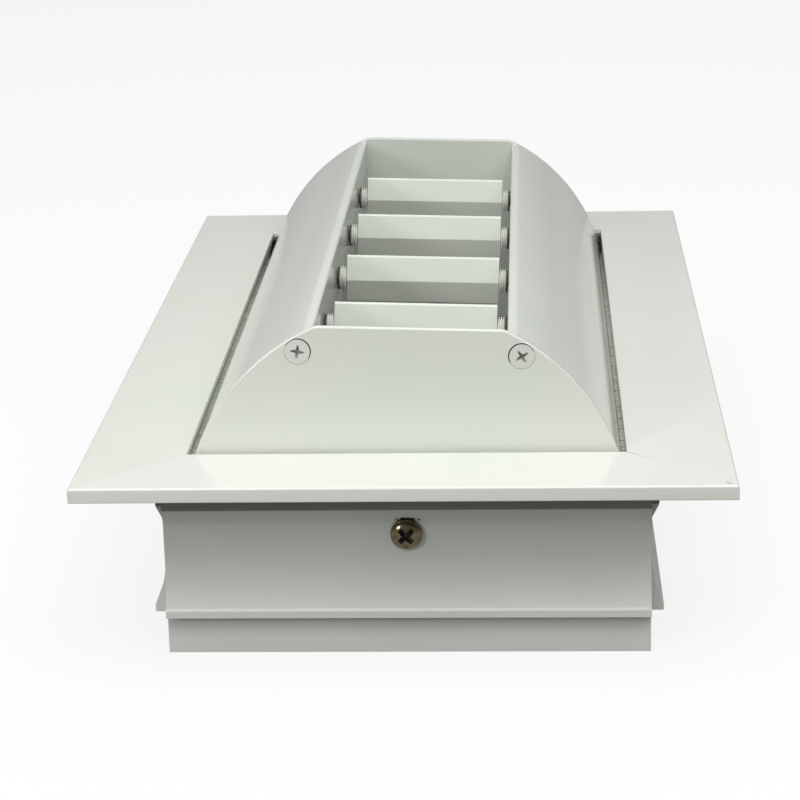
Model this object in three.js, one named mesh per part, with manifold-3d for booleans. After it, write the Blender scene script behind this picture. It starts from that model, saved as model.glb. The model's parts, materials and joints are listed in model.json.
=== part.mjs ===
// Louvred air grille of the drum type. A mitred aluminium frame with a neck carries a drum on two pivot
// screws, and the drum's slot holds four blades that each turn on a pair of ribbed bushes.
// Millimetres, +Z up, +X to the right and +Y away from the front. The origin is the centre of the neck's
// bottom face, so the flange's top face is at frameHeight.

import * as THREE from "three";
import { mergeVertices } from "three/addons/utils/BufferGeometryUtils.js";
import Module from "manifold-3d";

const wasm = await Module();
wasm.setup();

// Overall sizes
const frameWidth = 200;
const frameLength = 350;
const frameHeight = 63.3;

// Clearances
const runningGap = 0.3; // between a turning piece and what carries it
const seatGap = 0.2; // between a piece and the pocket it lies in
const mitreGap = 0.1; // the seam between two frame bars
const overrun = 5; // how far a cutting tool runs past what it cuts

// Frame extrusion: offsets run inwards from the flange's outer edge, or outwards from the opening's edge
const flangeBorder = 31.9; // outer edge to the opening
const flangeThickness = 1.6;
const lipHeight = 4.6;
const lipThickness = 1.6;
const wallSetback = 7.4; // opening's edge to the neck wall's outer face
const wallThickness = 2;
const ridgeProud = 2.4; // how far the ridge stands out of the neck wall
const ridgeDrop = 15.2; // flange top to the ridge's lower corner
const ridgeChamferDrop = 4.8;
const beadProud = 4;
const beadNoseHeight = 16;
const beadFootHeight = 13;
const beadNoseRadius = 0.6;
const flareRise = 16; // height of the concave sweep from the wall out to the bead
const flareBend = 4; // how far above the nose the sweep's tangents cross
const cornerNotch = 2.2; // how far the side bars' ridge and bead stop short of the end bars' wall

// Pile channel along the opening's edge
const channelDepth = 1.4;
const channelHeight = 5.2;
const channelWall = 1.2;
const channelDrop = 2; // flange top to the channel's ceiling
const mouthHeight = 3.2;
const upperJawDepth = 2.2;

// Pile seals
const pileBaseThickness = 1;
const pileWidth = 2.6;

// Corner keys: flat angles that slide into hooks under the flange
const hookOffset = 4.6;
const hookWall = 1.2;
const hookReach = 2;
const hookStandoff = 3.1; // inner hook to the ridge
const keyThickness = 1.8;
const keyArm = 42;
const keyHoleRadius = 2;

// Drum
const axisDrop = 23.7; // flange top to the drum's axis
const openingGap = 2.7; // opening's edge to the drum, along each side
const endGap = 1.5; // opening's edge to the end plate's outer face
const drumSetAngle = 1.78; // degrees from level, top to the right, as photographed
const skinThickness = 1.8;
const skinEndAngle = 100; // degrees from the top to the skin's lower edge
const endPlateThickness = 2;
const endPlateRise = 1.65; // how far the end plate's flat stands over the rims
const endPlateCorner = 1.2;

// Slot in the drum's top
const slotWidth = 59.6;
const rimWidth = 2.5;
const webThickness = 2;
const webDepth = 25.8;

// End plate screws and the ports they run into
const portRadius = 3.8;
const portInset = 4.6; // drum's outer surface to the port's centre
const portStandoff = 2.45; // web's outer face to the upper port's centre
const lowerPortAngle = 93; // degrees from the top
const plateScrewHeadRadius = 3.85;
const plateScrewHeadDepth = 1.6;
const plateScrewShankRadius = 1.8;
const plateScrewLength = 13;
const plateRecessWidth = 0.9;
const plateRecessSpan = 4.4;
const plateRecessDepth = 1.1;

// Pivots
const pivotScrewRadius = 2.5;
const pivotScrewLength = 20;
const pivotHeadRadius = 5;
const pivotHeadHeight = 3.3;
const domeShares = [[0.5, 0.9], [0.83, 0.64], [1, 0.25]]; // of the pan head's radius and height
const pivotRecessWidth = 1.1;
const pivotRecessSpan = 5.6;
const pivotRecessDepth = 1.9;
const pivotCollarRadius = 7;
const pivotShoulderWall = 1.1;
const washerRadius = 6;
const washerThickness = 1;
const nutAcrossFlats = 8;
const nutThickness = 4.5;

// Blades and their bushes
const bladeCount = 4;
const bladePitchShare = 0.2185; // of the drum's inner length
const bladeChord = 16.6;
const bladeThickness = 6.4;
const bladeEdgeThickness = 1.8;
const bladePivotDrop = 12.55; // rim to the blade's pivot line
const bushRadius = 4.35;
const bushHeadLength = 2.9;
const bushRibDepth = 0.45;
const bushRibs = 3;
const bushPinRadius = 2;
const bushSpigotLength = 8;
const bushPinOverrun = 0.8; // pin's end past the web

// Facet counts
const arcSegments = 18;
const roundSegments = 20;
const smallRoundSegments = 16;
const curveSegments = 5;

// Derived places
const halfOpeningWidth = frameWidth / 2 - flangeBorder;
const wallOffset = flangeBorder - wallSetback;
const innerHook = wallOffset - ridgeProud - hookStandoff;
const keyWidth = innerHook - hookOffset - (hookWall + seatGap) * 2;
const axisHeight = frameHeight - axisDrop;
const drumRadius = Math.hypot(halfOpeningWidth - openingGap, axisDrop);
const drumLength = frameLength - (flangeBorder + endGap) * 2;
const drumInnerLength = drumLength - endPlateThickness * 2;
const webInner = slotWidth / 2;
const webOuter = webInner + webThickness;
const rimOuter = webInner + rimWidth;
const rimHeight = Math.sqrt(drumRadius ** 2 - rimOuter ** 2);
const bladePivotHeight = rimHeight - bladePivotDrop;
const bladeLength = slotWidth - (runningGap + bushHeadLength + seatGap) * 2;
const portCircle = drumRadius - portInset;
const upperPortX = webOuter + portStandoff;
const mouthTop = frameHeight - channelDrop - channelWall;

// Finishes
const whitePaint = new THREE.MeshStandardMaterial({ color: 0xe3e5de, roughness: 0.38, metalness: 0 });
const bladePaint = new THREE.MeshStandardMaterial({ color: 0xdadfd6, roughness: 0.4, metalness: 0 });
const screwPaint = new THREE.MeshStandardMaterial({ color: 0xdcded6, roughness: 0.45, metalness: 0 });
const whiteNylon = new THREE.MeshStandardMaterial({ color: 0xe8eae4, roughness: 0.5, metalness: 0 });
const greyPile = new THREE.MeshStandardMaterial({ color: 0x8f938a, roughness: 0.95, metalness: 0 });
const yellowZinc = new THREE.MeshStandardMaterial({ color: 0x8a7634, roughness: 0.35, metalness: 0.9 });
const brightZinc = new THREE.MeshStandardMaterial({ color: 0xb9bcc0, roughness: 0.35, metalness: 0.9 });
const millAluminium = new THREE.MeshStandardMaterial({ color: 0xb4b7b8, roughness: 0.45, metalness: 0.9 });

// Solids: a closed geometry to a solid that can be cut, and back
function solidOf(geometry) {
  const bare = geometry.index ? geometry.toNonIndexed() : geometry.clone();
  bare.deleteAttribute("normal");
  bare.deleteAttribute("uv");
  const merged = mergeVertices(bare);
  return new wasm.Manifold(
    new wasm.Mesh({
      numProp: 3,
      vertProperties: merged.attributes.position.array,
      triVerts: new Uint32Array(merged.index.array),
    }),
  );
}

function geometryOf(solid) {
  const mesh = solid.getMesh();
  const geometry = new THREE.BufferGeometry();
  geometry.setAttribute("position", new THREE.BufferAttribute(mesh.vertProperties, mesh.numProp));
  geometry.setIndex(new THREE.BufferAttribute(mesh.triVerts, 1));
  geometry.computeVertexNormals();
  return geometry;
}

function cut(geometry, tools) {
  return geometryOf(tools.reduce((left, tool) => left.subtract(solidOf(tool)), solidOf(geometry)));
}

function join(geometries) {
  return geometryOf(geometries.map(solidOf).reduce((all, next) => all.add(next)));
}

// Prisms: a section in X and Z drawn out along Y, or one in Y and Z drawn out along X, both centred
function prismAlongY(section, length) {
  const settings = { depth: length, bevelEnabled: false, curveSegments };
  return new THREE.ExtrudeGeometry(section, settings).rotateX(Math.PI / 2).translate(0, length / 2, 0);
}

function prismAlongX(section, length) {
  const settings = { depth: length, bevelEnabled: false, curveSegments };
  const prism = new THREE.ExtrudeGeometry(section, settings).translate(0, 0, -length / 2);
  return prism.rotateY(Math.PI / 2).rotateX(Math.PI / 2);
}

function points(list) {
  return list.map(([a, b]) => new THREE.Vector2(a, b));
}

function arcPoints(side, radius, fromAngle, toAngle) {
  return Array.from({ length: arcSegments + 1 }, (_, i) => {
    const angle = fromAngle + ((toAngle - fromAngle) * i) / arcSegments;
    return new THREE.Vector2(side * radius * Math.sin(angle), radius * Math.cos(angle));
  });
}

function roundHole(x, y, radius) {
  const ring = Array.from({ length: smallRoundSegments }, (_, i) => {
    const angle = (Math.PI * 2 * i) / smallRoundSegments;
    return new THREE.Vector2(x + radius * Math.cos(angle), y + radius * Math.sin(angle));
  });
  return new THREE.Path(ring);
}

function rod(radius, length, segments) {
  return new THREE.CylinderGeometry(radius, radius, length, segments);
}

function turned(profile, segments) {
  return new THREE.LatheGeometry(points(profile), segments);
}

const root = new THREE.Group();
const frame = new THREE.Group();
const drum = new THREE.Group();
drum.position.z = axisHeight;
drum.rotation.y = THREE.MathUtils.degToRad(drumSetAngle);
root.add(frame, drum);

function addPiece(group, name, geometry, material) {
  const mesh = new THREE.Mesh(geometry, material);
  mesh.name = name;
  group.add(mesh);
  return mesh;
}

// Frame bars: one extruded section, mitred at both ends. Going round it from the flange's outer corner:
// the lip, the two hooks for the corner key, the ridge, the neck wall with its flared bead, and the pile
// channel at the opening's edge.
function barSection() {
  const underside = frameHeight - flangeThickness;
  const hookDrop = seatGap * 2 + keyThickness;
  const hookFoot = underside - hookDrop - hookWall;
  const ridgeOuter = wallOffset - ridgeProud;
  const ridgeFoot = frameHeight - ridgeDrop;
  const wallTop = ridgeFoot - ridgeChamferDrop;
  const beadOuter = wallOffset - beadProud;
  const wallInner = wallOffset + wallThickness;
  const channelCeiling = frameHeight - channelDrop;
  const channelFloor = channelCeiling - channelHeight;
  const jawInner = flangeBorder - upperJawDepth;
  const channelBack = jawInner - channelDepth;
  const section = new THREE.Shape(
    points([
      [0, frameHeight],
      [0, frameHeight - lipHeight],
      [lipThickness, frameHeight - lipHeight],
      [lipThickness, underside],
      [hookOffset, underside],
      [hookOffset, hookFoot],
      [hookOffset + hookWall + hookReach, hookFoot],
      [hookOffset + hookWall + hookReach, underside - hookDrop],
      [hookOffset + hookWall, underside - hookDrop],
      [hookOffset + hookWall, underside],
      [innerHook - hookWall, underside],
      [innerHook - hookWall, underside - hookDrop],
      [innerHook - hookWall - hookReach, underside - hookDrop],
      [innerHook - hookWall - hookReach, hookFoot],
      [innerHook, hookFoot],
      [innerHook, underside],
      [ridgeOuter, underside],
      [ridgeOuter, ridgeFoot],
      [wallOffset, wallTop],
      [wallOffset, beadNoseHeight + flareRise],
    ]),
  );
  section.quadraticCurveTo(
    wallOffset, beadNoseHeight + flareBend, beadOuter + beadNoseRadius, beadNoseHeight,
  );
  section.quadraticCurveTo(beadOuter, beadNoseHeight, beadOuter, beadNoseHeight - beadNoseRadius);
  section.lineTo(beadOuter, beadFootHeight);
  section.lineTo(wallOffset, beadFootHeight);
  section.lineTo(wallOffset, 0);
  section.lineTo(wallInner, 0);
  section.lineTo(wallInner, wallTop);
  section.lineTo(ridgeOuter + wallThickness, ridgeFoot);
  section.lineTo(ridgeOuter + wallThickness, underside);
  section.lineTo(channelBack - channelWall, underside);
  section.lineTo(channelBack - channelWall, channelFloor - channelWall);
  section.lineTo(jawInner + channelWall, channelFloor - channelWall);
  section.lineTo(jawInner + channelWall, mouthTop - mouthHeight);
  section.lineTo(jawInner, mouthTop - mouthHeight);
  section.lineTo(jawInner, channelFloor);
  section.lineTo(channelBack, channelFloor);
  section.lineTo(channelBack, channelCeiling);
  section.lineTo(jawInner, channelCeiling);
  section.lineTo(jawInner, mouthTop);
  section.lineTo(flangeBorder, mouthTop);
  section.lineTo(flangeBorder, frameHeight);
  return section;
}

// The section's offset also sets how far the mitre cuts each end back. The ridge and the bead are notched
// at the corners: they stop at the neighbouring bar's neck wall, or short of it by the notch.
function frameBar(length, notch) {
  const bar = prismAlongX(barSection(), length);
  const place = bar.getAttribute("position");
  for (let i = 0; i < place.count; i += 1) {
    const end = Math.sign(place.getX(i));
    place.setX(i, end * (length / 2 - mitreGap / 2 - place.getY(i)));
  }
  const wallTop = frameHeight - ridgeDrop - ridgeChamferDrop;
  const hookClear = (innerHook + wallOffset - ridgeProud) / 2;
  const reach = wallOffset + notch;
  const tools = [];
  for (const [outer, low, high] of [
    [-overrun, -overrun, wallTop],
    [hookClear, wallTop, frameHeight - flangeThickness],
  ]) {
    for (const side of [-1, 1]) {
      const tool = new THREE.BoxGeometry(reach + overrun, wallOffset - outer, high - low);
      const middle = (length - reach + overrun) / 2;
      tools.push(tool.translate(side * middle, (wallOffset + outer) / 2, (low + high) / 2));
    }
  }
  return cut(bar, tools);
}

// The end bars are drilled for the pivot screw and spot-faced for its head.
function endBar() {
  const hole = rod(pivotScrewRadius + runningGap, flangeBorder * 2, smallRoundSegments);
  hole.translate(0, wallOffset, axisHeight);
  const face = rod(pivotHeadRadius + runningGap, overrun, roundSegments);
  face.translate(0, wallOffset - overrun / 2, axisHeight);
  return cut(frameBar(frameWidth, 0), [hole, face]);
}

const barSpecs = [
  ["front", endBar(), 0, 0, -frameLength / 2],
  ["right", frameBar(frameLength, cornerNotch), Math.PI / 2, frameWidth / 2, 0],
  ["back", endBar(), Math.PI, 0, frameLength / 2],
  ["left", frameBar(frameLength, cornerNotch), -Math.PI / 2, -frameWidth / 2, 0],
];
for (const [place, bar, turn, x, y] of barSpecs) {
  const mesh = addPiece(frame, `frame_${place}`, bar, whitePaint);
  mesh.position.set(x, y, 0);
  mesh.rotation.z = turn;
}

// Corner keys: flat angles whose two arms lie in the hooks of two bars, each staked through one hole
function cornerKey() {
  const near = hookOffset + hookWall + seatGap;
  const far = near + keyWidth;
  const outline = new THREE.Shape(
    points([
      [near, near],
      [near + keyArm, near],
      [near + keyArm, far],
      [far, far],
      [far, near + keyArm],
      [near, near + keyArm],
    ]),
  );
  const middle = (near + far) / 2;
  for (const [x, y] of [[far + keyArm / 2, middle], [middle, far + keyArm / 2]]) {
    outline.holes.push(roundHole(x, y, keyHoleRadius));
  }
  const settings = { depth: keyThickness, bevelEnabled: false, curveSegments };
  const height = frameHeight - flangeThickness - seatGap - keyThickness;
  return new THREE.ExtrudeGeometry(outline, settings).translate(0, 0, height);
}

const cornerSpecs = [
  ["front_left", -1, -1, 0],
  ["front_right", 1, -1, Math.PI / 2],
  ["back_right", 1, 1, Math.PI],
  ["back_left", -1, 1, -Math.PI / 2],
];
for (const [place, sideX, sideY, turn] of cornerSpecs) {
  const key = addPiece(frame, `corner_key_${place}`, cornerKey(), millAluminium);
  key.position.set((sideX * frameWidth) / 2, (sideY * frameLength) / 2, 0);
  key.rotation.z = turn;
}

// Pile seals: a base strip in the channel and the pile that wipes the drum
function pileSeal(reach, length) {
  const middle = mouthTop - mouthHeight / 2;
  const baseBack = flangeBorder - upperJawDepth - channelDepth + seatGap;
  const baseFront = baseBack + pileBaseThickness;
  const baseHalf = channelHeight / 2 - seatGap;
  const baseMiddle = frameHeight - channelDrop - channelHeight / 2;
  const section = new THREE.Shape(
    points([
      [baseBack, baseMiddle - baseHalf],
      [baseFront, baseMiddle - baseHalf],
      [baseFront, middle - pileWidth / 2],
      [reach, middle - pileWidth / 2],
      [reach, middle + pileWidth / 2],
      [baseFront, middle + pileWidth / 2],
      [baseFront, baseMiddle + baseHalf],
      [baseBack, baseMiddle + baseHalf],
    ]),
  );
  return prismAlongX(section, length);
}

const pileFoot = mouthTop - mouthHeight / 2 - pileWidth / 2 - axisHeight;
const sideReach = frameWidth / 2 - Math.sqrt(drumRadius ** 2 - pileFoot ** 2) - runningGap;
const endReach = flangeBorder + endGap - runningGap;
const sideSealLength = frameLength - (endReach + seatGap) * 2;
const endSealLength = frameWidth - (sideReach + seatGap) * 2;
const sealSpecs = [
  ["front", endReach, endSealLength, 0, 0, -frameLength / 2],
  ["right", sideReach, sideSealLength, Math.PI / 2, frameWidth / 2, 0],
  ["back", endReach, endSealLength, Math.PI, 0, frameLength / 2],
  ["left", sideReach, sideSealLength, -Math.PI / 2, -frameWidth / 2, 0],
];
for (const [place, reach, length, turn, x, y] of sealSpecs) {
  const seal = addPiece(frame, `pile_seal_${place}`, pileSeal(reach, length), greyPile);
  seal.position.set(x, y, 0);
  seal.rotation.z = turn;
}

// A cross recess: two crossed slots, sunk from a head's top at height
function crossRecess(width, span, depth, height) {
  const slot = () => new THREE.BoxGeometry(width, depth * 2, span).translate(0, height, 0);
  return join([slot(), slot().rotateY(Math.PI / 2)]);
}

// Pivots: a pan head screw through the neck wall, a flanged nylon bush that spaces the drum and carries
// its end plate, and a washer and nut inside the drum. Each is made along +Y from the wall's outer face.
const collarStart = wallThickness;
const collarEnd = wallSetback + endGap - runningGap;
const shoulderEnd = collarEnd + endPlateThickness + runningGap * 2;
const pivotBore = pivotScrewRadius + runningGap;
const shoulderRadius = pivotBore + pivotShoulderWall;

function pivotScrew() {
  const head = turned(
    [
      [0, -pivotHeadHeight],
      ...domeShares.map(([across, up]) => [pivotHeadRadius * across, -pivotHeadHeight * up]),
      [pivotHeadRadius, 0],
      [pivotScrewRadius, 0],
      [pivotScrewRadius, pivotScrewLength],
      [0, pivotScrewLength],
    ],
    roundSegments,
  );
  return cut(head, [crossRecess(pivotRecessWidth, pivotRecessSpan, pivotRecessDepth, -pivotHeadHeight)]);
}

function pivotBush() {
  return turned(
    [
      [pivotBore, collarStart],
      [pivotCollarRadius, collarStart],
      [pivotCollarRadius, collarEnd],
      [shoulderRadius, collarEnd],
      [shoulderRadius, shoulderEnd],
      [pivotBore, shoulderEnd],
      [pivotBore, collarStart],
    ],
    roundSegments,
  );
}

function pivotWasher() {
  const end = shoulderEnd + washerThickness;
  return turned(
    [
      [pivotBore, shoulderEnd],
      [washerRadius, shoulderEnd],
      [washerRadius, end],
      [pivotBore, end],
      [pivotBore, shoulderEnd],
    ],
    roundSegments,
  );
}

function pivotNut() {
  const start = shoulderEnd + washerThickness;
  const corner = nutAcrossFlats / 2 / Math.cos(Math.PI / 6);
  const nut = rod(corner, nutThickness, 6).translate(0, start + nutThickness / 2, 0);
  const bore = rod(pivotBore, nutThickness + overrun, smallRoundSegments);
  return cut(nut, [bore.translate(0, start + nutThickness / 2, 0)]);
}

for (const [place, turn, side] of [["front", 0, -1], ["back", Math.PI, 1]]) {
  const pivot = new THREE.Group();
  pivot.position.set(0, side * (frameLength / 2 - wallOffset), axisHeight);
  pivot.rotation.z = turn;
  addPiece(pivot, `pivot_screw_${place}`, pivotScrew(), yellowZinc);
  addPiece(pivot, `pivot_bush_${place}`, pivotBush(), whiteNylon);
  addPiece(pivot, `pivot_washer_${place}`, pivotWasher(), brightZinc);
  addPiece(pivot, `pivot_nut_${place}`, pivotNut(), brightZinc);
  frame.add(pivot);
}

// Screw ports: where the end plates are screwed to each skin, in the drum's own frame
const lowerPort = THREE.MathUtils.degToRad(lowerPortAngle);
const ports = [
  ["upper", upperPortX, Math.sqrt(portCircle ** 2 - upperPortX ** 2)],
  ["lower", portCircle * Math.sin(lowerPort), portCircle * Math.cos(lowerPort)],
];

// Drum skins: a curved shell with the slot's wall hanging from its rim and two screw ports along it
function drumSkin(side) {
  const endAngle = THREE.MathUtils.degToRad(skinEndAngle);
  const inner = drumRadius - skinThickness;
  const shell = new THREE.Shape([
    ...points([[side * webInner, rimHeight]]),
    ...arcPoints(side, drumRadius, Math.asin(rimOuter / drumRadius), endAngle),
    ...arcPoints(side, inner, endAngle, Math.asin(webOuter / inner)),
    ...points([[side * webOuter, rimHeight - webDepth], [side * webInner, rimHeight - webDepth]]),
  ]);
  const bosses = ports.map(([, x, z]) =>
    rod(portRadius, drumInnerLength, roundSegments).translate(side * x, 0, z),
  );
  const portHoles = ports.map(([, x, z]) =>
    rod(plateScrewShankRadius + runningGap, frameLength, smallRoundSegments).translate(side * x, 0, z),
  );
  const pinHoles = bladeStations().map((y) =>
    rod(bushPinRadius + runningGap, webThickness * 2, smallRoundSegments)
      .rotateZ(Math.PI / 2)
      .translate((side * (webInner + webOuter)) / 2, y, bladePivotHeight),
  );
  return cut(join([prismAlongY(shell, drumInnerLength), ...bosses]), [...portHoles, ...pinHoles]);
}

function bladeStations() {
  const pitch = bladePitchShare * drumInnerLength;
  return Array.from({ length: bladeCount }, (_, i) => (i - (bladeCount - 1) / 2) * pitch);
}

addPiece(drum, "drum_skin_left", drumSkin(-1), whitePaint);
addPiece(drum, "drum_skin_right", drumSkin(1), whitePaint);

// Drum end plates: a disc cut flat at the top and across the bottom, with countersunk screw holes
function endPlate() {
  const flat = rimHeight + endPlateRise;
  const cornerX = Math.sqrt(drumRadius ** 2 - flat ** 2);
  const arcTop = Math.asin(cornerX / drumRadius) + endPlateCorner / drumRadius;
  const arcFoot = THREE.MathUtils.degToRad(skinEndAngle);
  const outline = new THREE.Shape();
  outline.moveTo(endPlateCorner - cornerX, flat);
  outline.lineTo(cornerX - endPlateCorner, flat);
  outline.quadraticCurveTo(cornerX, flat, drumRadius * Math.sin(arcTop), drumRadius * Math.cos(arcTop));
  for (const point of arcPoints(1, drumRadius, arcTop, arcFoot).slice(1)) outline.lineTo(point.x, point.y);
  for (const point of arcPoints(-1, drumRadius, arcFoot, arcTop)) outline.lineTo(point.x, point.y);
  outline.quadraticCurveTo(-cornerX, flat, endPlateCorner - cornerX, flat);
  outline.holes.push(roundHole(0, 0, shoulderRadius + runningGap));
  const sinks = [-1, 1].flatMap((side) =>
    ports.map(([, x, z]) => screwSink().translate(side * x, -endPlateThickness / 2, z)),
  );
  return cut(prismAlongY(outline, endPlateThickness), sinks);
}

// The countersink follows the screw's head and shank, a running gap wider, from the plate's outer face.
function screwSink() {
  const head = plateScrewHeadRadius + runningGap;
  const shank = plateScrewShankRadius + runningGap;
  return turned(
    [
      [0, -overrun],
      [head, -overrun],
      [head, 0],
      [shank, plateScrewHeadDepth],
      [shank, overrun],
      [0, overrun],
    ],
    roundSegments,
  );
}

function plateScrew() {
  const screw = turned(
    [
      [0, 0],
      [plateScrewHeadRadius, 0],
      [plateScrewShankRadius, plateScrewHeadDepth],
      [plateScrewShankRadius, plateScrewLength],
      [0, plateScrewLength],
    ],
    roundSegments,
  );
  return cut(screw, [crossRecess(plateRecessWidth, plateRecessSpan, plateRecessDepth, 0)]);
}

for (const [place, turn, side] of [["front", 0, -1], ["back", Math.PI, 1]]) {
  const end = new THREE.Group();
  end.position.y = (side * drumLength) / 2;
  end.rotation.z = turn;
  addPiece(end, `drum_end_${place}`, endPlate().translate(0, endPlateThickness / 2, 0), whitePaint);
  for (const [level, x, z] of ports) {
    for (const [hand, handSide] of [["left", -1], ["right", 1]]) {
      const screw = addPiece(end, `end_screw_${place}_${level}_${hand}`, plateScrew(), screwPaint);
      screw.position.set(handSide * -side * x, 0, z);
    }
  }
  drum.add(end);
}

// Blades: a slim symmetrical section, thickest at the pivot line, bored for the spigots of its bushes
function blade() {
  const half = bladeChord / 2;
  const edge = bladeEdgeThickness / 2;
  const section = new THREE.Shape();
  section.moveTo(edge, half - edge);
  section.lineTo(bladeThickness / 2, 0);
  section.lineTo(edge, edge - half);
  section.quadraticCurveTo(edge, -half, 0, -half);
  section.quadraticCurveTo(-edge, -half, -edge, edge - half);
  section.lineTo(-bladeThickness / 2, 0);
  section.lineTo(-edge, half - edge);
  section.quadraticCurveTo(-edge, half, 0, half);
  section.quadraticCurveTo(edge, half, edge, half - edge);
  section.holes.push(roundHole(0, 0, bushPinRadius + seatGap));
  return prismAlongX(section, bladeLength);
}

// Blade bush, made along +Y from the blade's end face: a spigot into the blade's bore, a ribbed head
// between the blade and the slot's wall, and a pin that turns in the wall
function bladeBush() {
  const rib = bushHeadLength / (bushRibs * 2 - 1);
  const headStart = seatGap;
  const profile = [
    [0, -bushSpigotLength],
    [bushPinRadius, -bushSpigotLength],
    [bushPinRadius, headStart],
  ];
  for (let i = 0; i < bushRibs * 2 - 1; i += 1) {
    const radius = bushRadius - (i % 2) * bushRibDepth;
    profile.push([radius, headStart + rib * i], [radius, headStart + rib * (i + 1)]);
  }
  const pinEnd = headStart + bushHeadLength + runningGap + webThickness + bushPinOverrun;
  profile.push([bushPinRadius, headStart + bushHeadLength], [bushPinRadius, pinEnd], [0, pinEnd]);
  return turned(profile, smallRoundSegments);
}

bladeStations().forEach((y, i) => {
  const station = new THREE.Group();
  station.position.set(0, y, bladePivotHeight);
  addPiece(station, `blade_${i + 1}`, blade(), bladePaint);
  for (const [hand, side] of [["left", -1], ["right", 1]]) {
    const bush = addPiece(station, `blade_${i + 1}_bush_${hand}`, bladeBush(), whiteNylon);
    bush.rotation.z = (-side * Math.PI) / 2;
    bush.position.x = (side * bladeLength) / 2;
  }
  drum.add(station);
});

export default root;
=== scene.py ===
# The looks of a drum louvre air grille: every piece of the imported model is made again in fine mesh, with the
# finish that the real piece has. The file follows the grille as it is put together, from the frame bars to
# the blades.
import json
import math
import random

import bmesh
import bpy
from mathutils import Matrix, Vector


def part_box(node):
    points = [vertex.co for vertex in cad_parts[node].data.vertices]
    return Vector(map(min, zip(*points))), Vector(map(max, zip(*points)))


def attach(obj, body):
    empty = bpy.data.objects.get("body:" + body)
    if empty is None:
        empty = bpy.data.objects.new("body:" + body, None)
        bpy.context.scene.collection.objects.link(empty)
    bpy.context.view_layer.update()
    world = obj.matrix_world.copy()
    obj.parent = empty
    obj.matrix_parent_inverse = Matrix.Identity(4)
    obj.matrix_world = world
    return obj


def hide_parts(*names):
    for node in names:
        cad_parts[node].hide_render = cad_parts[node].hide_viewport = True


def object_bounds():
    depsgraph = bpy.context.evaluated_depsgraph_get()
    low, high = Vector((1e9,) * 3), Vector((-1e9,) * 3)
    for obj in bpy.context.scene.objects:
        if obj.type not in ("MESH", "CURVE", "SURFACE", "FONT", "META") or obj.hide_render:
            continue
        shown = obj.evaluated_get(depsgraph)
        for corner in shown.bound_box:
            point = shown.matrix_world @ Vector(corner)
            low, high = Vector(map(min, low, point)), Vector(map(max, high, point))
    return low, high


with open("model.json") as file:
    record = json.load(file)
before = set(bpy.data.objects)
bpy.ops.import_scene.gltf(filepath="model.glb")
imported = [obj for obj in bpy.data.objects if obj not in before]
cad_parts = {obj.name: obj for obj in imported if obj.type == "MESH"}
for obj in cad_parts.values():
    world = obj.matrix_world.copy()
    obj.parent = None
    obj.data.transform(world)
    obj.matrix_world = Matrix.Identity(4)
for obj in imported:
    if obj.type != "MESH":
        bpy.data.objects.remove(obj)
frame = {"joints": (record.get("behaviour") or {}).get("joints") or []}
cad_low, cad_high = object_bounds()
scene = bpy.context.scene
scene.view_settings.view_transform = "Standard"

mm = 0.001

# Camera: it stands where the photograph was taken, above the front end and a little to the right. The place,
# the angles and the focal length come from fitting the grille's straight edges to the picture, which is
# square.
picture_side = 800  # pixels
focal_length = 2524.85  # pixels
film_width = 36  # the sensor's own millimetres
camera_place = Vector((38.62, -879.48, 314.55)) * mm
camera_yaw = math.radians(-3.1096)
camera_pitch = math.radians(17.6125)
camera_roll = math.radians(-1.3715)

sight = Vector((math.sin(camera_yaw), math.cos(camera_yaw), 0)) * math.cos(camera_pitch)
sight.z = -math.sin(camera_pitch)
level_right = Vector((math.cos(camera_yaw), -math.sin(camera_yaw), 0))
level_up = level_right.cross(sight)
right = level_right * math.cos(camera_roll) + level_up * math.sin(camera_roll)
up = level_up * math.cos(camera_roll) - level_right * math.sin(camera_roll)

camera = bpy.data.objects.new("camera", bpy.data.cameras.new("camera"))
camera.data.sensor_width = film_width
camera.data.lens = film_width * focal_length / picture_side
camera.data.clip_start = 0.05
camera.data.clip_end = 50
camera.matrix_world = Matrix.Translation(camera_place) @ Matrix((right, up, -sight)).transposed().to_4x4()
scene.collection.objects.link(camera)
scene.camera = camera

# Studio: a white paper floor in plain grey surroundings, soft boxes above, in front and behind, the strongest
# one at the right, and a low lamp at the front left. The semi-gloss paint mirrors the floor at a low angle,
# far less bright than it looks from above, so the floor glows less in reflections.
floor_radius = 30
floor_drop = 0.05 * mm  # keeps the floor off the neck's foot
floor_glow = 0.85  # share of plain white in what the camera sees
floor_glow_in_gloss = 0.31
surroundings_strength = 0.23


def linear(hex_colour):
    """An sRGB hex colour as linear red, green, blue and alpha."""
    parts = [int(hex_colour[i : i + 2], 16) / 255 for i in (1, 3, 5)]
    return [c / 12.92 if c <= 0.04045 else ((c + 0.055) / 1.055) ** 2.4 for c in parts] + [1]


def add_node(material, kind, inputs=None, out=0, **settings):
    """Adds one node and gives one of its outputs. An input is a value, a hex colour or a node's output."""
    made = material.node_tree.nodes.new("ShaderNode" + kind)
    for name, value in settings.items():
        setattr(made, name, value)
    for name, value in (inputs or {}).items():
        if isinstance(value, bpy.types.NodeSocket):
            material.node_tree.links.new(value, made.inputs[name])
        else:
            made.inputs[name].default_value = linear(value) if isinstance(value, str) else value
    return made.outputs[out] if made.outputs else None


def new_material(name):
    made = bpy.data.materials.new(name)
    made.use_nodes = True
    made.node_tree.nodes.clear()
    return made


def show(material, shader):
    add_node(material, "OutputMaterial", {"Surface": shader})
    return material


def as_object(name, shape):
    """A bmesh as a new object at the origin."""
    mesh = bpy.data.meshes.new(name)
    shape.to_mesh(mesh)
    shape.free()
    made = bpy.data.objects.new(name, mesh)
    scene.collection.objects.link(made)
    return made


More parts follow.
